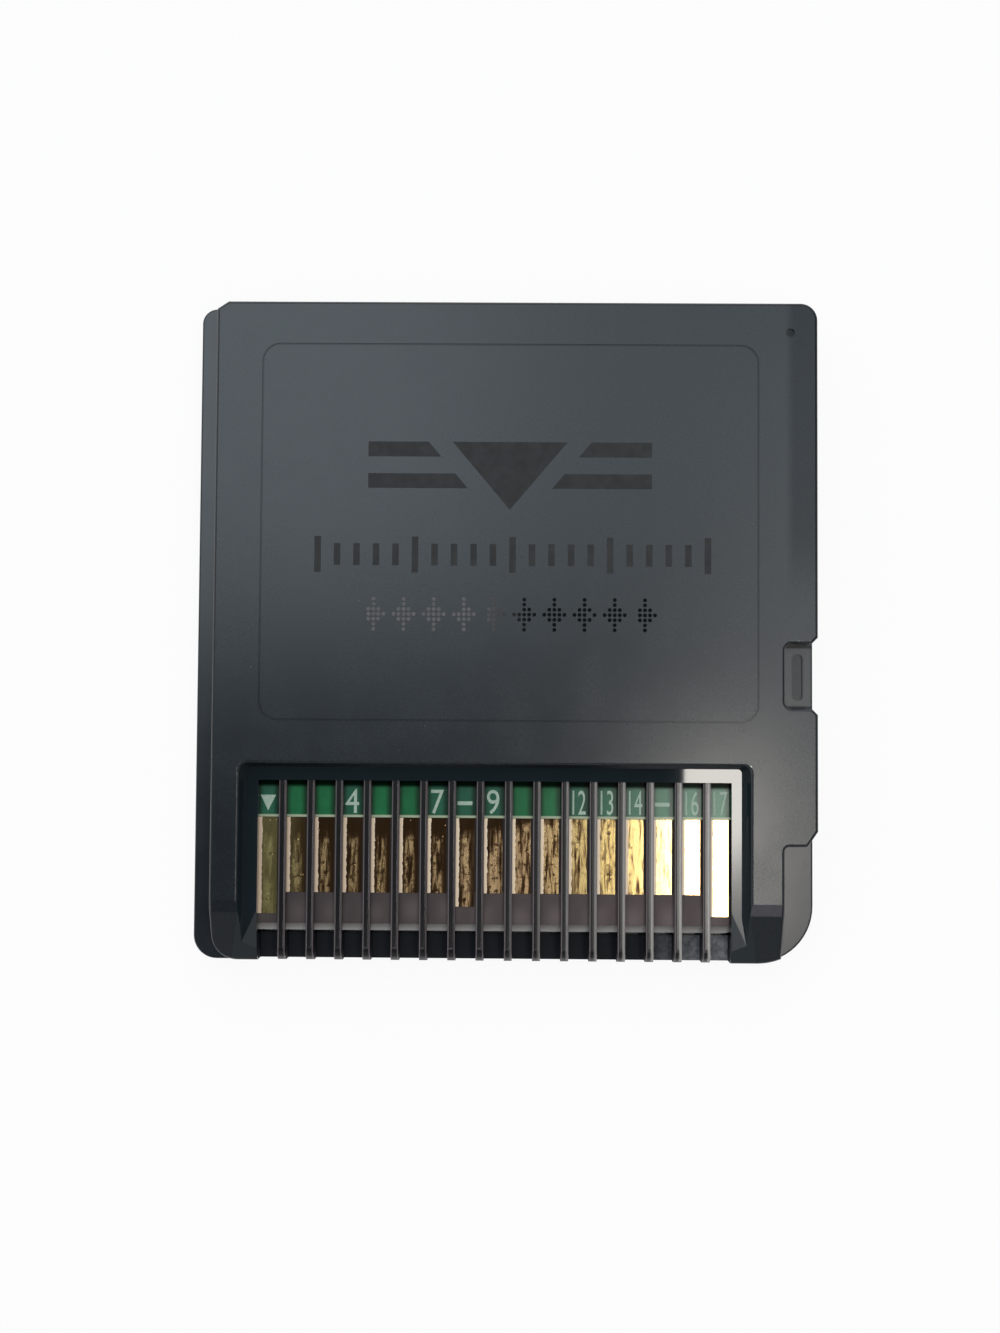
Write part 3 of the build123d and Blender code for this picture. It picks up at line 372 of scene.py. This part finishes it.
def gold_plate():
    """Gold over nickel on etched copper: smooth and dark where it mirrors the ceiling, with a pale
    matt strip along the left edge, and a ragged duller track where the springs of a slot wipe."""
    material, tree = finish_tree("gold_plate")
    place = add(tree, PLACE).outputs["Object"]
    x, y, _ = add(tree, AXES, {0: place}).outputs
    offset = pad_offset(tree, x)
    along = add(tree, "ShaderNodeMapping", {
        "Vector": place, "Location": (0.0, WEAR_SEED, 0.0), "Scale": (per(0.16), per(1.4), per(1.0)),
    })
    streaks = add(tree, NOISE, {"Vector": along, "Scale": 1.0, "Detail": 4.0})
    ragged = add(tree, NOISE, {"Vector": place, "Scale": per(0.3), "Detail": 3.0})

    # Pale strip, with an uneven inner edge
    edge = add(tree, RANGE, {
        "Value": ragged, **SPREAD,
        "To Min": (0.18 - PAD_WIDTH / 2) * MM, "To Max": (0.24 - PAD_WIDTH / 2) * MM,
    })
    strip = add(tree, MATH, {0: offset, 1: edge}, operation="LESS_THAN")

    # Wiped track: short and narrow on the left contacts, and all over the right ones
    used = add(tree, RANGE, {"Value": x, "From Min": -2.5 * MM, "From Max": 0.5 * MM}, **SOFT)
    wear = add(tree, RANGE, {"Value": x, "From Min": -3.0 * MM, "From Max": 7.5 * MM, "To Max": 0.065})
    middle = add(tree, MATH, {0: offset, 1: 0.05 * MM}, operation="SUBTRACT")
    middle = add(tree, MATH, {0: middle}, operation="ABSOLUTE")
    track = add(tree, RANGE, {
        "Value": middle, "From Min": 0.14 * MM, "From Max": 0.38 * MM, **FALLING,
    }, **SOFT)
    track = add(tree, MATH, {0: track, 1: used}, operation="MAXIMUM")
    grit = add(tree, NOISE, {"Vector": place, "Scale": per(0.24), "Detail": 3.0})
    for pattern, low, high in ((streaks, 0.33, 0.6), (grit, 0.28, 0.5)):
        amount = add(tree, MATH, {0: pattern, 1: wear}, operation="ADD")
        amount = add(tree, RANGE, {"Value": amount, "From Min": low, "From Max": high}, **SOFT)
        track = add(tree, MATH, {0: track, 1: amount}, operation="MULTIPLY")
    start = add(tree, RANGE, {
        "Value": x, "From Min": -3.0 * MM, "From Max": 7.0 * MM,
        "To Min": -10.8 * MM, "To Max": -9.1 * MM,
    })
    start = add(tree, MATH, {0: ragged, 1: 0.9 * MM, 2: start}, operation="MULTIPLY_ADD")
    reach = add(tree, MATH, {0: start, 1: y}, operation="SUBTRACT")
    reach = add(tree, RANGE, {"Value": reach, "From Min": 0.3 * MM, "From Max": 0.9 * MM}, **SOFT)
    track = add(tree, MATH, {0: track, 1: reach}, operation="MULTIPLY")

    # Pits, of which a few catch the light
    pits = add(tree, CELLS, {"Vector": place, "Scale": per(0.26)})
    spark = add(tree, RANGE, {
        "Value": pits, "From Min": 0.08, "From Max": 0.16, "To Min": 0.9, "To Max": 0.0,
    }, **SOFT)
    few = add(tree, MATH, {0: pits.outputs["Color"], 1: 0.3}, operation="LESS_THAN")
    spark = add(tree, MATH, {0: spark, 1: few}, operation="MULTIPLY")

    # The first contacts are evenly dull, and the wiped tracks smoother to the right
    olive = add(tree, RANGE, {
        "Value": x, "From Min": -12.0 * MM, "From Max": -9.8 * MM, **FALLING,
    }, **SOFT)
    wiped = add(tree, RANGE, {
        "Value": x, "From Min": -1.5 * MM, "From Max": 7.5 * MM, "To Min": 0.26, "To Max": 0.165,
    })
    rough = add(tree, RANGE, {"Value": streaks, **SPREAD, "To Min": 0.07, "To Max": 0.1})
    for mask, level in ((olive, 0.19), (track, wiped), (spark, 0.45), (strip, 0.62)):
        rough = add(tree, MIX, {0: mask, 2: rough, 3: level})

    # Brown contacts turn tan and then yellow to the right, and the strip pales
    brown = add(tree, MIX, {0: streaks, 6: linear("#cba878"), 7: linear("#e0c08c")}, **COLOUR)
    tan = add(tree, MIX, {0: streaks, 6: linear("#cba67c"), 7: linear("#e4c496")}, **COLOUR)
    yellow = add(tree, MIX, {0: streaks, 6: linear("#d3b878"), 7: linear("#ecd696")}, **COLOUR)
    warm = add(tree, RANGE, {"Value": x, "From Min": -6.5 * MM, "From Max": -1.5 * MM})
    rich = add(tree, RANGE, {"Value": x, "From Min": 1.5 * MM, "From Max": 4.5 * MM})
    tone = add(tree, MIX, {0: warm, 6: brown, 7: tan}, **COLOUR)
    tone = add(tree, MIX, {0: rich, 6: tone, 7: yellow}, **COLOUR)
    tone = add(tree, MIX, {0: track, 6: linear("#c99a6c"), 7: tone}, **COLOUR)
    tone = add(tree, MIX, {0: olive, 6: tone, 7: linear("#bfb077")}, **COLOUR)
    bright = add(tree, RANGE, {"Value": x, "From Min": -11.0 * MM, "From Max": -3.0 * MM})
    pale = add(tree, MIX, {0: bright, 6: linear("#efd9c0"), 7: linear("#ffecd2")}, **COLOUR)
    colour = add(tree, MIX, {0: strip, 6: tone, 7: pale}, **COLOUR)
    bump = add(tree, BUMP, {"Strength": 0.1, "Distance": 0.003 * MM, "Height": streaks})
    shader = add(tree, SHADER, {
        "Base Color": colour, "Metallic": 1.0, "Roughness": rough, "Normal": bump,
    })
    add(tree, RESULT, {"Surface": shader})
    return material


def green_lacquer():
    """Green solder mask brushed over copper and laminate: a clear glossy green where nothing is
    printed and greyer elsewhere, painted paler to the right as sheen, painted dark as the shadow of
    the ribs along their sides and of the frame at its rear, and thin and pale at its front edge."""
    material, tree = finish_tree("green_lacquer")
    place = add(tree, PLACE).outputs["Object"]
    x, y, _ = add(tree, AXES, {0: place}).outputs
    flow = add(tree, NOISE, {"Vector": place, "Scale": per(0.7), "Detail": 3.0})
    clear = add(tree, MIX, {0: flow, 6: linear("#14613a"), 7: linear("#23824d")}, **COLOUR)
    shade = add(tree, MIX, {0: flow, 6: linear("#1f5842"), 7: linear("#327357")}, **COLOUR)
    for first in PLAIN_PAIRS:
        start = (FIRST_PAD_X + PAD_PITCH * (first - 1.5)) * MM
        after = add(tree, MATH, {0: x, 1: start}, operation="GREATER_THAN")
        before = add(tree, MATH, {0: x, 1: start + 2 * PAD_PITCH * MM}, operation="LESS_THAN")
        pair = add(tree, MATH, {0: after, 1: before}, operation="MULTIPLY")
        shade = add(tree, MIX, {0: pair, 6: shade, 7: clear}, **COLOUR)
    # Painted sheen: the cells paler towards the right
    painted_sheen = add(tree, RANGE, {
        "Value": x, "From Min": 4.0 * MM, "From Max": 11.0 * MM, "To Max": 0.75,
    }, **SOFT)
    shade = add(tree, MIX, {0: painted_sheen, 6: shade, 7: linear("#5a9576")}, **COLOUR)

    # Painted shadow of the ribs along their sides and of the frame at the rear, where the sheen is cut
    # too
    aside = add(tree, MATH, {0: pad_offset(tree, x)}, operation="ABSOLUTE")
    rib_and_frame_shadow = add(tree, RANGE, {
        "Value": aside, "From Min": 0.2 * MM, "From Max": 0.5 * MM, "To Min": 1.0, "To Max": 0.3,
    }, **SOFT)
    rear = add(tree, RANGE, {
        "Value": y, "From Min": (SLOT_REAR_Y - 0.45) * MM, "From Max": (SLOT_REAR_Y - 0.22) * MM,
        "To Min": 1.0, "To Max": 0.06,
    }, **SOFT)
    rib_and_frame_shadow = add(tree, MATH, {0: rib_and_frame_shadow, 1: rear}, operation="MULTIPLY")
    sheen = add(tree, MATH, {0: rear, 1: 0.35}, operation="MULTIPLY")
    shade = add(tree, MIX, {0: 1.0, 6: shade, 7: rib_and_frame_shadow}, **SHADED)

    # Thin at the front edge
    thin = add(tree, RANGE, {
        "Value": y, "From Min": (MASK_FRONT_Y + 0.1) * MM, "From Max": (MASK_FRONT_Y + 0.15) * MM,
        **FALLING,
    })
    colour = add(tree, MIX, {0: thin, 6: shade, 7: linear("#b6c2a4")}, **COLOUR)
    bump = add(tree, BUMP, {"Strength": 0.3, "Distance": 0.01 * MM, "Height": flow})
    shader = add(tree, SHADER, {
        "Base Color": colour, "Roughness": 0.24, "IOR": LACQUER_IOR, "Specular IOR Level": sheen,
        "Normal": bump,
    })
    add(tree, RESULT, {"Surface": shader})
    return material


def glass_laminate():
    """Bare glass-fibre board: a dull mauve brown with a faint weave, painted paler to the right as
    light, painted dark as shade between the contacts, and a sanded bevel that pales to its frayed front
    edge."""
    material, tree = finish_tree("glass_laminate")
    place = add(tree, PLACE).outputs["Object"]
    x, y, _ = add(tree, AXES, {0: place}).outputs
    normal = add(tree, "ShaderNodeNewGeometry").outputs["Normal"]
    _, tilt_y, _ = add(tree, AXES, {0: normal}).outputs
    # A wave texture takes the sine of its place times 20, so its bands lie about 2 mm apart
    threads = {"Vector": place, "Scale": per(0.32) / 20, "Distortion": 2.0, "Detail": 2.0}
    weft = add(tree, "ShaderNodeTexWave", threads, bands_direction="X")
    warp = add(tree, "ShaderNodeTexWave", threads, bands_direction="Y")
    weave = add(tree, MATH, {0: weft.outputs["Fac"], 1: warp.outputs["Fac"]}, operation="MULTIPLY")
    shade = add(tree, MIX, {0: weave, 6: linear("#46393a"), 7: linear("#5e5150")}, **COLOUR)
    # Painted light: the board paler towards the right
    painted_light_ramp = add(tree, RANGE, {
        "Value": x, "From Min": -12.0 * MM, "From Max": 8.0 * MM, "To Min": 0.72, "To Max": 1.3,
    })
    shade = add(tree, MIX, {0: 1.0, 6: shade, 7: painted_light_ramp}, **SHADED)
    # Painted shade in the gaps between the contacts
    between = add(tree, RANGE, {
        "Value": y, "From Min": PAD_FRONT_Y * MM, "From Max": (PAD_FRONT_Y + 0.1) * MM,
    })
    shade = add(tree, MIX, {0: between, 6: shade, 7: linear("#211614")}, **COLOUR)
    frayed = add(tree, RANGE, {
        "Value": y, "From Min": (BOARD_FRONT_Y + BOARD_BEVEL) * MM, "From Max": BOARD_FRONT_Y * MM,
    })
    bevel = add(tree, MIX, {0: frayed, 6: linear("#7a7674"), 7: linear("#ccc8c6")}, **COLOUR)
    sanded = add(tree, MATH, {0: tilt_y, 1: BEVEL_TILT}, operation="LESS_THAN")
    colour = add(tree, MIX, {0: sanded, 6: shade, 7: bevel}, **COLOUR)
    bump = add(tree, BUMP, {"Strength": 0.3, "Distance": 0.01 * MM, "Height": weave})
    shader = add(tree, SHADER, {
        "Base Color": colour, "Roughness": 0.55, "IOR": EPOXY_IOR, "Normal": bump,
    })
    add(tree, RESULT, {"Surface": shader})
    return material


def legend_ink():
    """Screen-printed ink on the lacquer: a thin pale green-white film that lets some green through."""
    material, tree = finish_tree("legend_ink")
    place = add(tree, PLACE).outputs["Object"]
    film = add(tree, NOISE, {"Vector": place, "Scale": per(0.12), "Detail": 2.0})
    colour = add(tree, MIX, {0: film, 6: linear("#8fb39a"), 7: linear("#d3e2d2")}, **COLOUR)
    shader = add(tree, SHADER, {"Base Color": colour, "Roughness": 0.5, "IOR": EPOXY_IOR})
    add(tree, RESULT, {"Surface": shader})
    return material


def speckled(name, dark, light, size, roughness, metallic=0.0):
    """A finish of two close shades in fine specks, for the small pieces on the board."""
    material, tree = finish_tree(name)
    place = add(tree, PLACE).outputs["Object"]
    specks = add(tree, NOISE, {"Vector": place, "Scale": per(size), "Detail": 3.0})
    colour = add(tree, MIX, {0: specks, 6: linear(dark), 7: linear(light)}, **COLOUR)
    bump = add(tree, BUMP, {"Strength": 0.3, "Distance": 0.01 * MM, "Height": specks})
    shader = add(tree, SHADER, {
        "Base Color": colour, "Roughness": roughness, "Metallic": metallic, "Normal": bump,
    })
    add(tree, RESULT, {"Surface": shader})
    return material


finishes = {
    "shell_plastic": moulded_abs(),
    "board_laminate": glass_laminate(),
    "solder_mask_green": green_lacquer(),
    "contact_gold": gold_plate(),
    # Moulded epoxy: near black with a dull sparkle of filler
    "chip_resin": speckled("moulded_epoxy", "#131416", "#222427", 0.12, 0.55),
    # Tin plate: pale grey metal, slightly frosted
    "tinned_leads": speckled("tin_plate", "#a9abae", "#c9cbce", 0.1, 0.3, 1.0),
    # Fired ceramic: matt tan
    "capacitor_ceramic": speckled("fired_ceramic", "#8a6f4f", "#a88b66", 0.15, 0.45),
    # Glazed film: dark and smooth
    "resistor_body": speckled("glazed_film", "#16171a", "#24262a", 0.2, 0.3),
}
for entry in frame["record"]["subparts"]:
    piece = nodes[entry["node"]]
    piece.data.materials.clear()
    piece.data.materials.append(finishes[entry["material_slot"]])


def placed(name, data):
    """Put a new object with its data into the scene."""
    piece = bpy.data.objects.new(name, data)
    bpy.context.collection.objects.link(piece)
    return piece


def settled_mesh(piece):
    """Return what an object's modifiers or text come to, as a plain mesh."""
    settled = piece.evaluated_get(bpy.context.evaluated_depsgraph_get())
    return bpy.data.meshes.new_from_object(settled)


def piece_from(name, shape, material):
    """Turn a bmesh into a piece with one finish."""
    mesh = bpy.data.meshes.new(name)
    shape.to_mesh(mesh)
    shape.free()
    mesh.materials.append(material)
    return placed(name, mesh)


def plates(name, outlines, bottom, material):
    """Make thin flat plates on a face from outlines in millimetres, as one piece."""
    shape = bmesh.new()
    top = bottom + MARK_THICKNESS
    for outline in outlines:
        lower = [shape.verts.new((x * MM, y * MM, bottom * MM)) for x, y in outline]
        upper = [shape.verts.new((x * MM, y * MM, top * MM)) for x, y in outline]
        shape.faces.new(upper)
        shape.faces.new(lower[::-1])
        for corner in range(len(outline)):
            after = (corner + 1) % len(outline)
            shape.faces.new((lower[corner], lower[after], upper[after], upper[corner]))
    bmesh.ops.recalc_face_normals(shape, faces=shape.faces)
    return piece_from(name, shape, material)


def new_tree(name, sizes):
    """Return a geometry tree with named inputs, and a dictionary of their sockets."""
    tree = bpy.data.node_groups.new(name, "GeometryNodeTree")
    tree.interface.new_socket("Geometry", in_out="OUTPUT", socket_type="NodeSocketGeometry")
    for label, kind in sizes.items():
        tree.interface.new_socket(label, in_out="INPUT", socket_type=kind)
    entry = add(tree, "NodeGroupInput")
    return tree, {label: entry.outputs[label] for label in sizes}


def close_tree(tree, marks, move, material):
    """Move a tree's marks into place, make them solid and give them their finish."""
    moved = add(tree, "GeometryNodeTransform", {0: marks, "Translation": move})
    solid = add(tree, "GeometryNodeRealizeInstances", {0: moved})
    coloured = add(tree, "GeometryNodeSetMaterial", {0: solid, "Material": material})
    add(tree, "NodeGroupOutput", {0: coloured})
    return tree


def made_by(name, tree, values):
    """Run a geometry tree with values on its named inputs, and keep the result as a plain mesh."""
    piece = placed(name, bpy.data.meshes.new(name))
    modifier = piece.modifiers.new(name, "NODES")
    modifier.node_group = tree
    for socket in tree.interface.items_tree:
        if socket.in_out == "INPUT":
            modifier[socket.identifier] = values[socket.name]
    mesh = settled_mesh(piece)
    piece.modifiers.remove(modifier)
    piece.data = mesh
    return piece


# Kinds of a geometry tree's inputs
WHOLE = "NodeSocketInt"
NUMBER = "NodeSocketFloat"
SPOT = "NodeSocketVector"


def tick_tree(material):
    """Build the tree that lays a row of upright ticks, with every fifth one long."""
    tree, size = new_tree("tick_row", {
        "Count": WHOLE, "Pitch": NUMBER, "Width": NUMBER, "Short": NUMBER, "Long": NUMBER,
        "Thickness": NUMBER, "Centre": SPOT,
    })
    step = add(tree, POINT, {"X": size["Pitch"]})
    line = add(tree, "GeometryNodeMeshLine", {"Count": size["Count"], "Offset": step})
    place = add(tree, MATH, {0: add(tree, "GeometryNodeInputIndex"), 1: LONG_EVERY}, operation="MODULO")
    fifth = add(tree, MATH, {0: place, 1: 0.5}, operation="LESS_THAN")
    length = add(tree, MIX, {0: fifth, 2: size["Short"], 3: size["Long"]})
    scale = add(tree, POINT, {"X": size["Width"], "Y": length, "Z": size["Thickness"]})
    tick = add(tree, "GeometryNodeMeshCube", {"Size": (1.0, 1.0, 1.0)})
    row = add(tree, "GeometryNodeInstanceOnPoints", {"Points": line, "Instance": tick, "Scale": scale})
    gaps = add(tree, MATH, {0: size["Count"], 1: 1.0}, operation="SUBTRACT")
    half = add(tree, MATH, {0: gaps, 1: -0.5}, operation="MULTIPLY")
    start = add(tree, MATH, {0: half, 1: size["Pitch"]}, operation="MULTIPLY")
    start = add(tree, POINT, {"X": start})
    move = add(tree, VECTOR, {0: start, 1: size["Centre"]}, operation="ADD")
    return close_tree(tree, row, move, material)


def dot_tree(material):
    """Build the tree that stamps a band of dots in lozenges, with a dot missing here and there."""
    tree, size = new_tree("stamped_dots", {
        "Columns": WHOLE, "Rows": WHOLE, "Cell": WHOLE, "Pitch": NUMBER, "Radius": NUMBER,
        "Thickness": NUMBER, "Centre": SPOT, "Seed": WHOLE,
    })
    across = add(tree, MATH, {0: size["Columns"], 1: 1.0}, operation="SUBTRACT")
    width = add(tree, MATH, {0: across, 1: size["Pitch"]}, operation="MULTIPLY")
    down = add(tree, MATH, {0: size["Rows"], 1: 1.0}, operation="SUBTRACT")
    height = add(tree, MATH, {0: down, 1: size["Pitch"]}, operation="MULTIPLY")
    grid = add(tree, "GeometryNodeMeshGrid", {
        "Size X": width, "Size Y": height, "Vertices X": size["Columns"], "Vertices Y": size["Rows"],
    })

    # A lozenge in each cell: the farther a column is from its cell's middle, the fewer rows it keeps
    x, y, _ = add(tree, AXES, {0: add(tree, "GeometryNodeInputPosition")}).outputs
    column = add(tree, MATH, {0: x, 1: size["Pitch"]}, operation="DIVIDE")
    column = add(tree, MATH, {0: across, 1: 0.5, 2: column}, operation="MULTIPLY_ADD")
    column = add(tree, MATH, {0: column}, operation="ROUND")
    column = add(tree, MATH, {0: column, 1: size["Cell"]}, operation="MODULO")
    middle = add(tree, MATH, {0: size["Cell"], 1: 0.5, 2: -1.0}, operation="MULTIPLY_ADD")
    aside = add(tree, MATH, {0: column, 1: middle}, operation="SUBTRACT")
    aside = add(tree, MATH, {0: aside}, operation="ABSOLUTE")
    row = add(tree, MATH, {0: y, 1: size["Pitch"]}, operation="DIVIDE")
    row = add(tree, MATH, {0: row}, operation="ABSOLUTE")
    reach = add(tree, MATH, {0: aside, 1: LOZENGE_SLOPE, 2: row}, operation="MULTIPLY_ADD")
    inside = add(tree, MATH, {0: reach, 1: LOZENGE_REACH}, operation="LESS_THAN")
    struck = add(tree, "FunctionNodeRandomValue", {
        "Probability": STRUCK_SHARE, "Seed": size["Seed"],
    }, data_type="BOOLEAN")
    kept = add(tree, MATH, {0: inside, 1: struck}, operation="MULTIPLY")
    dot = add(tree, "GeometryNodeMeshCylinder", {
        "Vertices": 10, "Radius": size["Radius"], "Depth": size["Thickness"],
    })
    dots = add(tree, "GeometryNodeInstanceOnPoints", {
        "Points": grid, "Selection": kept, "Instance": dot,
    })
    return close_tree(tree, dots, size["Centre"], material)


# Marks on the insert face: an arrow between bars, a row of ticks and a band of dots
ARROW = (
    ((-2.8, 10.0), (0.24, 6.4), (3.28, 10.0)),
    ((-7.26, 10.0), (-7.26, 9.21), (-3.4, 9.21), (-4.07, 10.0)),
    ((-7.26, 8.31), (-7.26, 7.53), (-1.99, 7.53), (-2.65, 8.31)),
    ((7.74, 10.0), (4.55, 10.0), (3.89, 9.21), (7.74, 9.21)),
    ((7.74, 8.31), (3.13, 8.31), (2.47, 7.53), (7.74, 7.53)),
)
etched = etched_abs()
arrow = plates("insertion_arrow", ARROW, INSERT_FACE, etched)
ticks = made_by("tick_row", tick_tree(etched), {
    "Count": 21, "Pitch": 1.03 * MM, "Width": 0.34 * MM, "Short": 1.15 * MM, "Long": 1.9 * MM,
    "Thickness": MARK_THICKNESS * MM, "Centre": (0.4 * MM, 4.0 * MM, MARK_MIDDLE * MM),
})
dots = made_by("stamped_dots", dot_tree(stamped_abs()), {
    "Columns": 59, "Rows": 7, "Cell": 6, "Pitch": 0.265 * MM, "Radius": 0.105 * MM,
    "Thickness": MARK_THICKNESS * MM, "Centre": (0.24 * MM, 0.85 * MM, MARK_MIDDLE * MM), "Seed": 7,
})


def pad_x(number):
    """Return the middle of a contact, in millimetres."""
    return FIRST_PAD_X + PAD_PITCH * (number - 1)


def legend(material):
    """Print on the lacquer the numbers of the contacts that carry one."""
    shape = bmesh.new()
    half_thickness = MARK_THICKNESS / 2
    for number in NUMBERED:
        curve = bpy.data.curves.new("legend", "FONT")
        curve.body = str(number)
        curve.align_x = "CENTER"
        curve.align_y = "CENTER"
        curve.size = LEGEND_SIZE * MM
        curve.extrude = half_thickness * MM
        curve.resolution_u = LETTER_STEPS
        letter = placed("legend", curve)
        mesh = settled_mesh(letter)
        squeeze = TWO_DIGITS if number > 9 else ONE_DIGIT
        mesh.transform(Matrix.Diagonal((squeeze, 1.0, 1.0, 1.0)))
        centre = (pad_x(number) * MM, LEGEND_Y * MM, (MASK_TOP + half_thickness) * MM)
        mesh.transform(Matrix.Translation(centre))
        shape.from_mesh(mesh)
        bpy.data.objects.remove(letter)
        bpy.data.curves.remove(curve)
    return piece_from("contact_legend", shape, material)


# Print on the lacquer: numbers, a triangle at the first contact and dashes at two others
ink = legend_ink()
numbers = legend(ink)
outlines = [[(pad_x(1) + across, LEGEND_Y + along) for across, along in TRIANGLE]]
for number in DASHED:
    outlines.append([(pad_x(number) + across, LEGEND_Y + along) for across, along in DASH])
contact_marks = plates("contact_marks", outlines, MASK_TOP, ink)
for piece, slot in (
    (arrow, "shell_plastic"),
    (ticks, "shell_plastic"),
    (dots, "shell_plastic"),
    (numbers, "solder_mask_green"),
    (contact_marks, "solder_mask_green"),
):
    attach(piece, "root")


def pale_floor():
    """Matt white paper, lit as white to the eye, that still takes the card's soft shadow."""
    material, tree = finish_tree("white_paper")
    path = add(tree, "ShaderNodeLightPath").outputs
    seen = add(tree, MATH, {0: path["Is Camera Ray"], 1: path["Is Glossy Ray"]}, operation="MAXIMUM")
    seen = add(tree, MATH, {0: seen, 1: path["Is Transmission Ray"]}, operation="MAXIMUM")
    share = add(tree, MATH, {0: seen, 1: WHITE_SHARE}, operation="MULTIPLY")
    paper = add(tree, "ShaderNodeBsdfDiffuse", {"Color": linear("#fbfbfa")})
    white = add(tree, "ShaderNodeEmission", {"Color": linear("#ffffff"), "Strength": 1.0})
    surface = add(tree, "ShaderNodeMixShader", {0: share, 1: paper, 2: white})
    add(tree, RESULT, {"Surface": surface})
    return material


floor_mesh = bpy.data.meshes.new("floor")
reach = FLOOR_REACH * MM
floor_corners = [(-reach, -reach, 0), (reach, -reach, 0), (reach, reach, 0), (-reach, reach, 0)]
floor_mesh.from_pydata(floor_corners, [], [(0, 1, 2, 3)])
floor_mesh.materials.append(pale_floor())
floor = placed("floor", floor_mesh)


def lamp(name, centre, width, depth, radiance, tint):
    """Hang an area lamp, in millimetres, that faces down and shows a given radiance."""
    light = bpy.data.lights.new(name, "AREA")
    light.shape = "RECTANGLE"
    light.size = width * MM
    light.size_y = depth * MM
    light.energy = radiance * math.pi * (width * depth * MM * MM)
    light.color = linear(tint)[:3]
    holder = placed(name, light)
    holder.location = Vector(centre) * MM
    holder.visible_camera = False


for settings in LAMPS:
    lamp(*settings)


def studio():
    """A white room with a dark ceiling, dark screens at the front and right, and a grey one at the
    left: the walls light the card, and what lies straight above it stays dark in the polished and
    plated faces."""
    world = bpy.data.worlds.new("studio")
    bpy.context.scene.world = world
    world.use_nodes = True
    tree = world.node_tree
    tree.nodes.clear()
    x, y, z = add(tree, AXES, {0: add(tree, PLACE).outputs["Generated"]}).outputs
    brightness = add(tree, RANGE, {
        "Value": z, "From Min": 0.5, "From Max": 0.9, "To Min": 1.5, "To Max": 0.03,
    }, **SOFT)
    for axis, start, end, low, high in (
        (y, -0.7, -0.35, 0.25, 1.0),
        (x, 0.35, 0.7, 1.0, 0.25),
        (x, -0.8, -0.35, 0.65, 1.0),
    ):
        screen = add(tree, RANGE, {
            "Value": axis, "From Min": start, "From Max": end, "To Min": low, "To Max": high,
        }, **SOFT)
        brightness = add(tree, MATH, {0: brightness, 1: screen}, operation="MULTIPLY")
    glow = add(tree, "ShaderNodeBackground", {"Color": linear("#ffffff"), "Strength": brightness})
    add(tree, "ShaderNodeOutputWorld", {"Surface": glow})


studio()

# The camera stands almost straight above the card, as the photograph's does
camera_data = bpy.data.cameras.new("camera")
camera_data.lens = CAMERA_LENS
camera_data.sensor_width = CAMERA_SENSOR
camera_data.clip_start = 1 * MM
camera_data.clip_end = 10000 * MM
camera = placed("camera", camera_data)
camera.matrix_world = Matrix.Translation(Vector(CAMERA_PLACE) * MM) @ Matrix(CAMERA_TURN).to_4x4()
bpy.context.scene.camera = camera
bpy.context.scene.view_settings.view_transform = "Standard"
